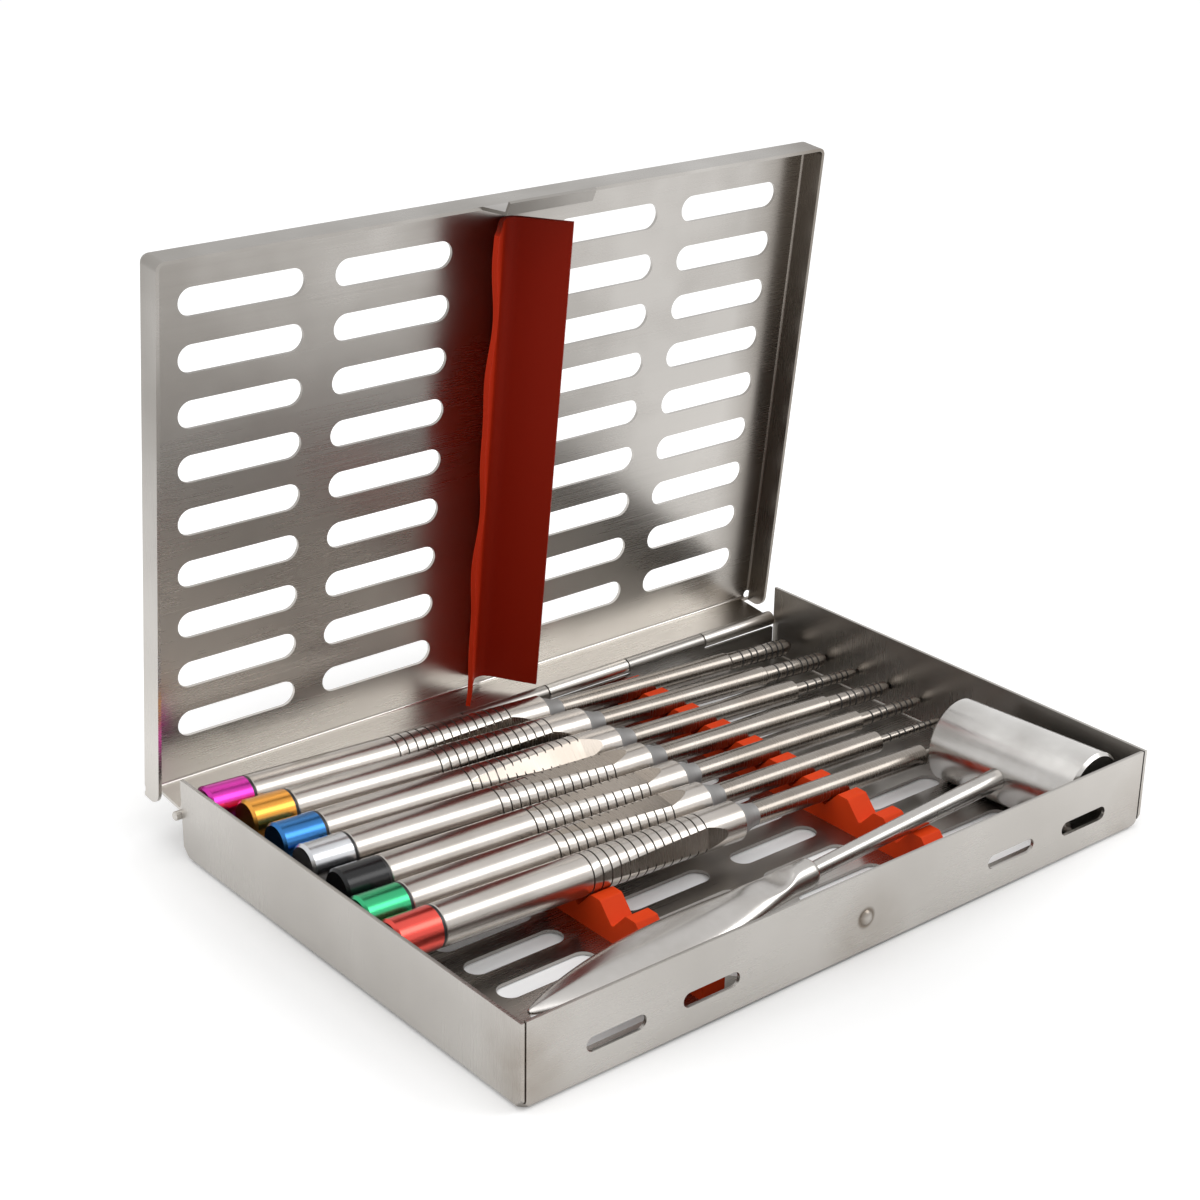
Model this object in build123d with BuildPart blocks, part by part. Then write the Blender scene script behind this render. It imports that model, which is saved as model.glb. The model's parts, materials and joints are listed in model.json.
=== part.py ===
from build123d import *
from math import atan2, cos, radians, sin, sqrt, tan
import os

# Dental instrument cassette: a folded sheet tray with a lid on a piano hinge, two silicone
# racks, seven sinus osteotomes and a mini mallet.  Millimetres.
# X runs along the tray, +Y towards the hinge, +Z up; the origin is under the tray's middle.

# Sheet metal
sheet = 0.9
tray_length = 204.0
tray_depth = 138.3
tray_height = 21.9
tray_bend = 1.6
corner_cut = 3.3
lid_overhang = 1.48
lid_front_gap = 3.3
lid_skirt = 8.2
lid_bend = 1.6
lid_front_round = 2.2
lid_rear_round = 4.0
seam_gap = 0.5
corner_relief = 1.35

# Hinge
pin_radius = 1.2
pin_clearance = 0.05
pin_overhang = 1.6
hinge_height = 11.65
hinge_drop = 14.34
knuckle_count = 7
knuckle_gap = 0.5
leaf_clearance = 0.3
lid_lean = 6.283

# Slots in the floor, the front wall and the lid
floor_slot_length = 28.0
floor_slot_width = 6.6
floor_slot_margin = 12.9
floor_slot_rows = 10
inner_column_x = 18.5
outer_column_x = 65.0
wall_slot_length = 16.8
wall_slot_width = 3.8
wall_slot_x = 77.2
wall_slot_inner_x = 49.7
wall_slot_height = 9.2
wall_slot_shift = 1.2
lid_slot_length = 34.7
lid_slot_width = 7.3
lid_slot_rows = 9
lid_column_x = 77.2
lid_inner_column_x = 33.9
lid_slot_rear_margin = 16.9
lid_slot_front_margin = 13.9

# Latch
dimple_radius = 2.4
dimple_height = 9.75
dimple_proud = 1.1
tongue_width = 27.0
tongue_length = 9.3
tongue_lean = 1.5
tongue_flare = 3.2
tongue_lip = 1.2

# Silicone racks
rack_x = 41.2
rack_width = 6.8
rack_places = 10
rack_rear_gap = 2.05
rack_front_gap = 6.4
rack_valley_height = 5.1
rack_tooth_rise = 5.2
rack_half_angle = 42.0
rack_round = 0.8
rack_end_land = 6.2
rack_studs = 3
stud_radius = 2.0
stud_clearance = 0.1
seat_clearance = 0.2

# Silicone hold-down strip on the lid
strip_start = 4.5
strip_front_gap = 7.2
strip_spread = 12.0
strip_spine = 2.0
strip_wall = 1.1
strip_clearance = 0.4

# Osteotomes
handle_radius = 5.25
cap_wall_gap = 3.6
cap_length = 11.7
cap_chamfer = 0.7
ring_length = 0.8
ring_inset = 0.1
handle_length = 92.5
flat_length = 43.0
flat_margin = 6.5
flat_depth = 0.9
flat_runout = 6.0
cone_length = 6.4
shaft_radius = 3.0
tip_length = 25.5
tip_step = 0.8
tip_wall_gap = 0.5
tip_point = 3.0
tip_radii = [2.6, 2.4, 1.7, 2.4, 1.9, 1.15, 1.1]
place_drift = [0.7, 0.9, 0.6, 0.55, 0.15, 0.0, 0.0]
place_shift = [-2.65, 1.45, 1.45, 1.1, 1.7, -1.5, -1.7]
tip_setbacks = [2.2, 0.0, 0.0, 0.0, 0.0, 5.4, 1.5]
flat_turns = [80.0, 86.0, 49.0, 7.0, 7.0, 8.0, 83.0]

# Mallet
head_radius = 11.5
head_length = 45.0
head_chamfer = 0.8
head_end_gap = 5.1
head_wall_gap = 1.8
mallet_swing = 4.7
neck_radius = 2.8
neck_end_radius = 2.1
neck_end = 83.5
socket_depth = 7.5
socket_clearance = 0.05
bulb_radius = 3.9
bulb_round = 2.0
bulb_end = 92.0
grip_crown = 9.2
tail_wall_gap = 9.6
# Leaf-shaped grip: half widths and half thicknesses against the share of its length
grip_widths = [(0.0, 3.4), (0.21, 5.7), (0.49, 8.3), (0.79, 6.2), (1.0, 0.8)]
grip_thicknesses = [(0.0, 3.3), (0.49, 3.3), (0.81, 2.8), (1.0, 0.8)]

# Fits worked out from the sizes above
knuckle_bore = pin_radius + pin_clearance
knuckle_radius = knuckle_bore + sheet
hinge_y = tray_depth / 2 - sheet + knuckle_radius
knuckle_pitch = tray_length / knuckle_count
hinge_end = tray_length / 2 - sheet - knuckle_gap
lid_length = tray_length + 2 * (lid_overhang + sheet)
lid_depth = hinge_y + sheet / 2 + tray_depth / 2 + lid_front_gap + sheet
floor_slot_pitch = (tray_depth - 2 * floor_slot_margin) / (floor_slot_rows - 1)
lid_slot_pitch = (lid_depth - lid_slot_rear_margin - lid_slot_front_margin) / (lid_slot_rows - 1)
rear_wall_drop = sqrt(knuckle_radius**2 - (knuckle_radius - sheet) ** 2) + leaf_clearance


def seat_height(radius):
    """Height of a round bar's axis when it lies in a rack valley."""
    return rack_valley_height + (radius + seat_clearance) / sin(radians(rack_half_angle))


handle_seat = seat_height(handle_radius)
shaft_seat = seat_height(shaft_radius)
tooth_top = rack_valley_height + rack_tooth_rise
rack_rear_y = tray_depth / 2 - sheet - rack_rear_gap
rack_front_y = rack_front_gap + sheet - tray_depth / 2
rack_middle_y = (rack_rear_y + rack_front_y) / 2
places_span = rack_rear_y - rack_front_y - 2 * rack_end_land
rack_pitch = places_span / (rack_places - 1)
rack_first_y = rack_rear_y - rack_end_land
stud_pitch = places_span / (rack_studs - 1)
place_y = [rack_first_y - rack_pitch * place for place in range(rack_places)]

inner_end_x = tray_length / 2 - sheet
cap_end_x = cap_wall_gap - inner_end_x
tip_end_x = inner_end_x - tip_wall_gap
flat_end = handle_length - flat_margin
flat_start = flat_end - flat_length

# Each osteotome lies low in the right rack and may ride up one tooth of the left rack
ride_height = [drift / tan(radians(rack_half_angle)) for drift in place_drift]
lip_share = (rack_x + strip_spread) / (2 * rack_x)
shaft_top = shaft_seat + (handle_seat + max(ride_height) - shaft_seat) * lip_share
head_x = inner_end_x - head_end_gap - head_radius
head_z = sheet + head_radius
grip_end = head_x + inner_end_x - tail_wall_gap
grip_start = bulb_end - bulb_round
grip_half_height = max(half for share, half in grip_thicknesses)
grip_seat = tooth_top + seat_clearance + grip_half_height
rise = atan2(grip_seat - head_z, head_x + rack_x)
grip_height = head_z + (head_x + strip_spread) * tan(rise)
highest = max(shaft_top + handle_radius, grip_height + max(grip_half_height, bulb_radius))
strip_reach = hinge_height + hinge_drop - highest - strip_clearance

# Open lid: its panel plane, with X along the hinge, Y up the panel and Z into the lid
panel_up = Vector(0, -sin(radians(lid_lean)), cos(radians(lid_lean)))
panel_in = Vector(0, -cos(radians(lid_lean)), -sin(radians(lid_lean)))
hinge_point = Vector(0, hinge_y, hinge_height)
panel_origin = hinge_point - panel_in * hinge_drop + panel_up * (lid_depth / 2 - sheet / 2)
panel = Plane(panel_origin, x_dir=(1, 0, 0), z_dir=panel_in)


def bent_block(frame, length, depth, height, bend, corner_round=0.0):
    """A block standing on frame, its lower edges rounded like folds, its far corners in plan too."""
    front_view = Plane(frame.origin, x_dir=frame.x_dir, z_dir=-frame.y_dir)
    with BuildPart() as block:
        with BuildSketch(front_view):
            Rectangle(length, height, align=(Align.CENTER, Align.MIN))
        extrude(amount=depth / 2, both=True)
        if corner_round:
            upright = block.edges().filter_by(Axis(frame.origin, frame.z_dir))
            fillet(upright.sort_by(Axis(frame.origin, frame.y_dir))[-2:], corner_round)
        fold_edges = block.faces().sort_by(Axis(frame.origin, frame.z_dir))[0].edges()
        fillet(fold_edges, bend)
    return block.part


def hinge_station(x):
    """Plane across the hinge axis at x, facing +X."""
    return Plane((x, hinge_y, hinge_height), x_dir=(0, 1, 0), z_dir=(1, 0, 0))


def knuckle_span(index):
    """Left and right ends of one rolled knuckle."""
    left = max(-tray_length / 2 + index * knuckle_pitch + knuckle_gap / 2, -hinge_end)
    right = min(-tray_length / 2 + (index + 1) * knuckle_pitch - knuckle_gap / 2, hinge_end)
    return left, right


lid_knuckles = [knuckle_span(index) for index in range(0, knuckle_count, 2)]
tray_knuckles = [knuckle_span(index) for index in range(1, knuckle_count, 2)]

# Tray: one folded sheet, with its rear wall rolled into the middle knuckles
tray_inner = bent_block(
    Plane.XY.offset(sheet), tray_length - 2 * sheet, tray_depth - 2 * sheet, tray_height, tray_bend - sheet
)
with BuildPart() as dimple:
    with Locations((0, -tray_depth / 2 - dimple_proud + dimple_radius, dimple_height)):
        Sphere(dimple_radius)
        Sphere(dimple_radius - sheet, mode=Mode.SUBTRACT)
    split(bisect_by=Plane.XZ.offset(tray_depth / 2 - sheet / 2), keep=Keep.TOP)

with BuildPart() as tray_shell:
    add(bent_block(Plane.XY, tray_length, tray_depth, tray_height, tray_bend))
    add(tray_inner, mode=Mode.SUBTRACT)
    # Blank's corners cut away below each seam
    for side_x in (-1, 1):
        for side_y in (-1, 1):
            corner = (side_x * (tray_length / 2 - corner_cut), side_y * tray_depth / 2, 0)
            split(bisect_by=Plane(corner, z_dir=(side_x, side_y, -1)), keep=Keep.BOTTOM)
    # Floor slots and the holes that take the rack studs
    with BuildSketch() as floor_holes:
        for column_x in (-outer_column_x, -inner_column_x, inner_column_x, outer_column_x):
            with Locations((column_x, 0)):
                with GridLocations(1, floor_slot_pitch, 1, floor_slot_rows):
                    SlotOverall(floor_slot_length, floor_slot_width)
        with Locations((0, rack_middle_y)):
            with GridLocations(2 * rack_x, stud_pitch, 2, rack_studs):
                Circle(stud_radius + stud_clearance)
    extrude(amount=sheet, mode=Mode.SUBTRACT)
    # Front wall slots
    with BuildSketch(Plane.XZ.offset(tray_depth / 2)) as wall_slots:
        for slot_x in (-wall_slot_x, -wall_slot_inner_x, wall_slot_inner_x, wall_slot_x):
            with Locations((slot_x + wall_slot_shift, wall_slot_height)):
                SlotOverall(wall_slot_length, wall_slot_width)
    extrude(amount=-sheet, mode=Mode.SUBTRACT)
    # Open seams where the front wall meets the side walls, and the rear wall's free ends
    with BuildSketch(Plane.XZ.offset(tray_depth / 2)) as seams:
        seam_height = tray_height - tray_bend
        with Locations((0, tray_bend + seam_height / 2)):
            with GridLocations(tray_length - 2 * sheet - seam_gap, 1, 2, 1):
                Rectangle(seam_gap, seam_height)
    extrude(amount=-sheet, mode=Mode.SUBTRACT)
    # Rear wall: full height under its own knuckles, lower behind the lid's
    rear_face = Plane.XZ.offset(-tray_depth / 2)
    with BuildSketch(rear_face) as rear_trim:
        with Locations((0, hinge_height)):
            Rectangle(tray_length - 2 * sheet, tray_height, align=(Align.CENTER, Align.MIN))
        for left, right in lid_knuckles:
            with Locations(((left + right) / 2, hinge_height - rear_wall_drop)):
                trim_width = right - left + 2 * knuckle_gap
                Rectangle(trim_width, tray_height, align=(Align.CENTER, Align.MIN))
        with Locations((0, tray_bend + tray_height / 2)):
            with GridLocations(tray_length - 2 * sheet - 2 * seam_gap, 1, 2, 1):
                Rectangle(2 * seam_gap, tray_height)
    extrude(amount=sheet, mode=Mode.SUBTRACT)
    # Knuckles rolled from the rear wall
    for left, right in tray_knuckles:
        with BuildSketch(hinge_station(left)) as tray_roll:
            Circle(knuckle_radius)
            Circle(knuckle_bore, mode=Mode.SUBTRACT)
        extrude(amount=right - left)
    # Latch dimple pressed out of the front wall
    with Locations((0, -tray_depth / 2 - dimple_proud + dimple_radius, dimple_height)):
        Sphere(dimple_radius - sheet, mode=Mode.SUBTRACT)
    add(dimple.part)
tray_shell.part.label = "tray_shell"

# Hinge pin, its head showing at the left end
with BuildPart() as hinge_pin:
    with BuildSketch(hinge_station(-tray_length / 2 - pin_overhang)) as pin_section:
        Circle(pin_radius)
    extrude(amount=tray_length / 2 + pin_overhang + hinge_end)
    chamfer(hinge_pin.edges().filter_by(GeomType.CIRCLE), pin_radius / 4)
hinge_pin.part.label = "hinge_pin"

# Lid: one folded sheet, its rear skirt long enough to be rolled into the outer knuckles
lid_inner = bent_block(
    panel.offset(sheet),
    lid_length - 2 * sheet,
    lid_depth - 2 * sheet,
    hinge_drop,
    lid_bend - sheet,
    lid_front_round - sheet,
)
lid_rear = Plane(
    panel.origin - panel.y_dir * lid_depth / 2, x_dir=(1, 0, 0), z_dir=panel.y_dir
)
with BuildPart() as lid_shell:
    add(bent_block(panel, lid_length, lid_depth, lid_skirt, lid_bend, lid_front_round))
    # Side skirts' rear corners rounded off
    side_view = Plane(panel.origin, x_dir=panel.y_dir, z_dir=panel.x_dir)
    with BuildSketch(side_view) as rear_corner:
        with Locations((-lid_depth / 2, lid_skirt)):
            Rectangle(lid_rear_round, lid_rear_round, align=(Align.MIN, Align.MAX))
        with Locations((-lid_depth / 2 + lid_rear_round, lid_skirt - lid_rear_round)):
            Circle(lid_rear_round, mode=Mode.SUBTRACT)
    extrude(amount=lid_length / 2, both=True, mode=Mode.SUBTRACT)
    # Rear skirt, reaching down to the hinge axis
    with BuildSketch(lid_rear) as rear_skirt:
        with Locations((0, -lid_bend)):
            Rectangle(2 * hinge_end, hinge_drop - lid_bend, align=(Align.CENTER, Align.MAX))
    extrude(amount=sheet)
    add(lid_inner, mode=Mode.SUBTRACT)
    # Drainage slots
    with BuildSketch(panel) as lid_slots:
        slot_middle = (lid_slot_rear_margin - lid_slot_front_margin) / 2
        for column_x in (-lid_column_x, -lid_inner_column_x, lid_inner_column_x, lid_column_x):
            with Locations((column_x, slot_middle)):
                with GridLocations(1, lid_slot_pitch, 1, lid_slot_rows):
                    SlotOverall(lid_slot_length, lid_slot_width)
    extrude(amount=sheet, mode=Mode.SUBTRACT)
    # Relief holes at the two rear corners, and the open seams beside the rear skirt
    with BuildSketch(panel) as corner_holes:
        with Locations((0, sheet / 2 + corner_relief - lid_depth / 2)):
            with GridLocations(lid_length - 2 * sheet, 1, 2, 1):
                Circle(corner_relief)
    extrude(amount=lid_bend, mode=Mode.SUBTRACT)
    with BuildSketch(lid_rear) as rear_seams:
        seam_width = lid_length / 2 - sheet - hinge_end
        with Locations((0, -lid_bend)):
            with GridLocations(2 * hinge_end + seam_width, 1, 2, 1):
                Rectangle(seam_width, hinge_drop, align=(Align.CENTER, Align.MAX))
    extrude(amount=sheet, mode=Mode.SUBTRACT)
    # Skirt cut back around the tray's knuckles
    with BuildSketch(lid_rear) as skirt_windows:
        for left, right in tray_knuckles:
            with Locations(((left + right) / 2, -hinge_drop + knuckle_radius + leaf_clearance)):
                window_width = right - left + 2 * knuckle_gap
                Rectangle(window_width, hinge_drop, align=(Align.CENTER, Align.MAX))
    extrude(amount=sheet, mode=Mode.SUBTRACT)
    # Knuckles rolled from the rear skirt
    for left, right in lid_knuckles:
        with BuildSketch(hinge_station(left)) as lid_roll:
            Circle(knuckle_radius)
        extrude(amount=right - left)
    with BuildSketch(hinge_station(-hinge_end)) as lid_bore:
        Circle(knuckle_bore)
    extrude(amount=2 * hinge_end, mode=Mode.SUBTRACT)
    # Latch tongue: runs on from the front skirt's edge and flares out into a finger lip
    tongue_view = Plane(
        panel.origin - panel.x_dir * tongue_width / 2, x_dir=panel.y_dir, z_dir=panel.x_dir
    )
    with BuildSketch(tongue_view) as tongue_section:
        with BuildLine() as tongue_path:
            skirt_y = (lid_depth - sheet) / 2
            fold = (skirt_y + tongue_lean, lid_skirt + tongue_length)
            lip = (skirt_y + tongue_lean + tongue_flare, lid_skirt + tongue_length + tongue_lip)
            Polyline((skirt_y, lid_skirt - sheet), (skirt_y, lid_skirt), fold, lip)
        trace(line_width=sheet)
    extrude(amount=tongue_width)
lid_shell.part.label = "lid_shell"

# Hold-down strip: a silicone gull wing whose lips press the instruments down
strip_view = Plane(
    panel.origin + panel.y_dir * (strip_start - lid_depth / 2), x_dir=panel.x_dir, z_dir=-panel.y_dir
)
with BuildPart() as hold_down_strip:
    with BuildSketch(strip_view) as strip_section:
        lip_height = strip_reach - strip_wall / 2
        spine_height = sheet + strip_wall / 2
        with BuildLine() as strip_path:
            Polyline(
                (-strip_spread, lip_height),
                (-strip_spine, spine_height),
                (strip_spine, spine_height),
                (strip_spread, lip_height),
            )
        trace(line_width=strip_wall)
    extrude(amount=strip_start + strip_front_gap - lid_depth)
hold_down_strip.part.label = "hold_down_strip"


def rack(centre_x):
    """One silicone rack: a toothed bar on studs pushed through the floor."""
    valley_half = rack_tooth_rise * tan(radians(rack_half_angle))
    with BuildPart() as bar:
        with BuildSketch(Plane.YZ.offset(centre_x - rack_width / 2)) as bar_side:
            with BuildLine() as bar_outline:
                corners = [(rack_front_y, sheet), (rack_front_y, tooth_top)]
                for y in reversed(place_y):
                    corners.append((y - valley_half, tooth_top))
                    corners.append((y, rack_valley_height))
                    corners.append((y + valley_half, tooth_top))
                corners.append((rack_rear_y, tooth_top))
                corners.append((rack_rear_y, sheet))
                Polyline(*corners, close=True)
            make_face()
            fillet(bar_side.vertices().group_by(Axis.Z)[-1], rack_round)
        extrude(amount=rack_width)
        with BuildSketch() as bar_studs:
            with Locations((centre_x, rack_middle_y)):
                with GridLocations(1, stud_pitch, 1, rack_studs):
                    Circle(stud_radius)
        extrude(amount=sheet)
    return bar.part


rack_left = rack(-rack_x)
rack_left.label = "rack_left"
rack_right = rack(rack_x)
rack_right.label = "rack_right"

# Osteotomes: caps, rings, flatted handles and stepped shafts, each on its own axis
def bar_view(number, start, turn=0.0):
    """Side view of one osteotome, X along its axis from start, Y turned forwards from upright."""
    left_seat = Vector(-rack_x, place_y[number] + place_drift[number], handle_seat + ride_height[number])
    right_seat = Vector(rack_x, place_y[number], shaft_seat)
    along = (right_seat - left_seat).normalized()
    cap_end = cap_end_x + place_shift[number]
    origin = left_seat + along * ((cap_end + rack_x) / along.X + start)
    level = along.cross(Vector(0, 0, 1)).normalized()
    return Plane(origin, x_dir=along, z_dir=level.rotate(Axis(origin, along), turn))


def turned(number, start, profile):
    """A turned piece: profile is radius against distance from start."""
    view = bar_view(number, start)
    with BuildPart() as piece:
        with BuildSketch(view):
            with BuildLine():
                Polyline((0, 0), *profile, (profile[-1][0], 0), close=True)
            make_face()
        revolve(axis=Axis(view.origin, view.x_dir))
    return piece.part


def cap(number):
    """Anodised end cap with a chamfered rim."""
    profile = [(0, handle_radius - cap_chamfer), (cap_chamfer, handle_radius), (cap_length, handle_radius)]
    return turned(number, 0, profile)


def ring(number):
    """Dark seal ring between cap and handle."""
    radius = handle_radius - ring_inset
    return turned(number, cap_length, [(0, radius), (ring_length, radius)])


def handle(number):
    """Round handle with a long thumb flat, deepest near the cone, where it runs out again."""
    start = cap_length + ring_length
    with BuildPart() as body:
        add(turned(number, start, [(0, handle_radius), (handle_length, handle_radius)]))
        with BuildSketch(bar_view(number, start, flat_turns[number])) as flat_side:
            with BuildLine():
                level = handle_radius - flat_depth
                Polyline(
                    (flat_start, handle_radius),
                    (flat_end - flat_runout, level),
                    (flat_end, handle_radius),
                    (flat_end, handle_radius + flat_depth),
                    (flat_start, handle_radius + flat_depth),
                    close=True,
                )
            make_face()
        extrude(amount=handle_radius, both=True, mode=Mode.SUBTRACT)
    return body.part


def shaft(number):
    """Shouldered shaft with a slimmer working tip."""
    start = cap_length + ring_length + handle_length
    tip_radius = tip_radii[number]
    reach = tip_end_x - tip_setbacks[number] - cap_end_x - place_shift[number]
    total = reach / bar_view(number, 0).x_dir.X - start
    step = total - tip_length + tip_setbacks[number]
    profile = [
        (0, handle_radius),
        (cone_length, shaft_radius),
        (step, shaft_radius),
        (step + tip_step, tip_radius),
        (total - tip_point, tip_radius),
        (total, tip_radius / 2),
    ]
    return turned(number, start, profile)


# Mallet: a solid head lying across the tray, its handle leaning on the left rack
swing = radians(mallet_swing)
head_y = sheet + head_wall_gap - tray_depth / 2
head_y += head_length / 2 * cos(swing) + head_radius * sin(swing)
head_point = Vector(head_x, head_y, head_z)
head_along = Vector(sin(swing), -cos(swing), 0)
grip_along = Vector(-cos(swing) * cos(rise), -sin(swing) * cos(rise), sin(rise))


def grip_station(distance):
    """Plane across the mallet handle, X level and Y up, at a distance from the head's axis."""
    return Plane(head_point + grip_along * distance, x_dir=-head_along, z_dir=grip_along)


with BuildPart() as mallet_head:
    head_start = Plane(head_point - head_along * head_length / 2, x_dir=(0, 0, 1), z_dir=head_along)
    with BuildSketch(head_start) as head_section:
        Circle(head_radius)
    extrude(amount=head_length)
    chamfer(mallet_head.edges().filter_by(GeomType.CIRCLE), head_chamfer)
    with BuildSketch(grip_station(head_radius - socket_depth)) as head_socket:
        Circle(neck_radius + socket_clearance)
    extrude(amount=socket_depth + sheet, mode=Mode.SUBTRACT)
mallet_head.part.label = "mallet_head"

def leaf_outline(half_sizes):
    """Symmetric outline along the grip: a smooth edge through the half sizes, and its mirror image."""
    with BuildSketch() as outline:
        edge = [(grip_start + (grip_end - grip_start) * share, half) for share, half in half_sizes]
        with BuildLine():
            Spline(*edge)
            Line((edge[0][0], 0), edge[0])
            Line((edge[-1][0], 0), edge[-1])
            mirror(about=Plane.XZ)
        make_face()
    return outline.sketch


# Leaf-shaped grip: plan outline, trimmed by the side outline and crowned across
handle_view = Plane(head_point, x_dir=grip_along, z_dir=head_along)
grip_plan = Plane(head_point, x_dir=grip_along, z_dir=grip_along.cross(head_along))
with BuildPart() as leaf:
    with BuildSketch(grip_plan):
        add(leaf_outline(grip_widths))
    extrude(amount=bulb_radius, both=True)
    with BuildSketch(handle_view):
        add(leaf_outline(grip_thicknesses))
    extrude(amount=grip_crown, both=True, mode=Mode.INTERSECT)
    with BuildSketch(grip_station(grip_start)):
        Ellipse(grip_crown, grip_half_height)
    extrude(amount=grip_end - grip_start, mode=Mode.INTERSECT)

with BuildPart() as mallet_handle:
    # Round neck, pressed into the head, and the bulb it ends in
    with BuildSketch(handle_view) as neck_side:
        with BuildLine() as neck_outline:
            root = head_radius - socket_depth + socket_clearance
            shoulder = neck_end + bulb_round
            Polyline((root, 0), (root, neck_radius), (head_radius, neck_radius), (neck_end, neck_end_radius))
            RadiusArc((neck_end, neck_end_radius), (shoulder, bulb_radius), -bulb_round)
            Polyline((shoulder, bulb_radius), (bulb_end, bulb_radius), (bulb_end, 0), (root, 0))
        make_face()
    revolve(axis=Axis(head_point, grip_along))
    add(leaf.part)
mallet_handle.part.label = "mallet_handle"

os.makedirs("parts", exist_ok=True)
pieces = [tray_shell.part, hinge_pin.part, lid_shell.part, hold_down_strip.part, rack_left, rack_right]
pieces += [mallet_head.part, mallet_handle.part]
for number in range(len(tip_radii)):
    bar_pieces = {"cap": cap(number), "ring": ring(number), "handle": handle(number), "shaft": shaft(number)}
    for name, piece in bar_pieces.items():
        piece.label = f"osteotome_{number + 1}_{name}"
        pieces.append(piece)
for piece in pieces:
    export_step(piece, f"parts/{piece.label}.step")
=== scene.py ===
import json
import math

import bmesh
import bpy
from mathutils import Matrix, Vector


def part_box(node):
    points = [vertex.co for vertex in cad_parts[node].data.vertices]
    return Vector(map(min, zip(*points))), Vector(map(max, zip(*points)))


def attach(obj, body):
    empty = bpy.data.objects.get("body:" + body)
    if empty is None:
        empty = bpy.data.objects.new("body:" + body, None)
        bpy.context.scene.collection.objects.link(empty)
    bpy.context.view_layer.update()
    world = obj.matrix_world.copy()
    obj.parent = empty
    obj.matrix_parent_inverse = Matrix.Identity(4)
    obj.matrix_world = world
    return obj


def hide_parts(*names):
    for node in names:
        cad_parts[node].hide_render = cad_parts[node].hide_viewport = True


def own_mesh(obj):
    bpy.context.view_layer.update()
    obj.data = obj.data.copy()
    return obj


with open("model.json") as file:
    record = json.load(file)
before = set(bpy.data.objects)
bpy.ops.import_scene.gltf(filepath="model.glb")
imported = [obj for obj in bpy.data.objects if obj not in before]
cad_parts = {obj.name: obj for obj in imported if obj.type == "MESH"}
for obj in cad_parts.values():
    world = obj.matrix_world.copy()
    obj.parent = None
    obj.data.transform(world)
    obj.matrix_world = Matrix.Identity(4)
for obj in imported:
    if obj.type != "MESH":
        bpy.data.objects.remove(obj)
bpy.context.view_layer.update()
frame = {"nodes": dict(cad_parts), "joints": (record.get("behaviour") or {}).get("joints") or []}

# --- Camera ---
# Three-quarter view from the front left, looking down into the open cassette.  The lens is
# long and stands about 0.6 m away, and the view rolls by less than a degree.
mm = 0.001
azimuth = math.radians(39.8695)
elevation = math.radians(22.9842)
roll = math.radians(0.8746)
camera_place = Vector((-350.242, -389.602, 288.986)) * mm
view_direction = Vector(
    (
        math.sin(azimuth) * math.cos(elevation),
        math.cos(azimuth) * math.cos(elevation),
        -math.sin(elevation),
    )
)
level_right = Vector((math.cos(azimuth), -math.sin(azimuth), 0))
level_up = level_right.cross(view_direction)
camera_right = level_right * math.cos(roll) + level_up * math.sin(roll)
camera_up = level_up * math.cos(roll) - level_right * math.sin(roll)
camera_axes = Matrix((camera_right, camera_up, -view_direction)).transposed().to_4x4()
camera_data = bpy.data.cameras.new("view_camera")
camera_data.lens = 69.543
camera_data.sensor_width = 36
camera_data.clip_start = 0.01
camera_data.clip_end = 20
camera = bpy.data.objects.new("view_camera", camera_data)
bpy.context.scene.collection.objects.link(camera)
camera.matrix_world = Matrix.Translation(camera_place) @ camera_axes
bpy.context.scene.camera = camera
bpy.context.scene.view_settings.view_transform = "Standard"

# --- Studio: white table, white room and two soft boxes ---
# The table is a pale seamless sheet that glows a little away from the cassette.  The room is
# white wherever it is seen or mirrored, and gives a softer light to what is matte.
table_half = 4.0
table_drop = 0.2 * mm
table_glow = 0.4
glow_start, glow_full = 0.08, 0.18
room_light_level = 0.62
room_white_level = 1.0


def add_math(tree, operation, *values):
    """A math node's output; each value is a number or a socket."""
    node = tree.nodes.new("ShaderNodeMath")
    node.operation = operation
    for index, value in enumerate(values):
        if isinstance(value, (int, float)):
            node.inputs[index].default_value = value
        else:
            tree.links.new(value, node.inputs[index])
    return node.outputs[0]


def add_range(tree, value, low, high, to_low, to_high):
    """value moved from one range to another and held inside it."""
    node = tree.nodes.new("ShaderNodeMapRange")
    node.inputs["From Min"].default_value = low
    node.inputs["From Max"].default_value = high
    node.inputs["To Min"].default_value = to_low
    node.inputs["To Max"].default_value = to_high
    tree.links.new(value, node.inputs["Value"])
    return node.outputs[0]


def new_material(name, metallic, roughness):
    """A material with its shader, ready for links."""
    material = bpy.data.materials.new(name)
    material.use_nodes = True
    shader = material.node_tree.nodes["Principled BSDF"]
    shader.inputs["Metallic"].default_value = metallic
    shader.inputs["Roughness"].default_value = roughness
    return material, material.node_tree, shader


table_mesh = bpy.data.meshes.new("studio_table")
table_signs = ((-1, -1), (1, -1), (1, 1), (-1, 1))
table_corners = [(table_half * x, table_half * y, 0) for x, y in table_signs]
table_mesh.from_pydata(table_corners, [], [(0, 1, 2, 3)])
table_top = bpy.data.objects.new("studio_table", table_mesh)
table_top.location.z = -table_drop
bpy.context.scene.collection.objects.link(table_top)
table_white, table_tree, table_shader = new_material("table_white", 0.0, 1.0)
table_shader.inputs["Base Color"].default_value = (0.9, 0.9, 0.9, 1)
table_shader.inputs["Specular IOR Level"].default_value = 0.0
table_shader.inputs["Emission Color"].default_value = (1, 1, 1, 1)
table_ray = table_tree.nodes.new("ShaderNodeLightPath").outputs
table_seen = add_math(table_tree, "MAXIMUM", table_ray["Is Camera Ray"], table_ray["Is Glossy Ray"])
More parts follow.
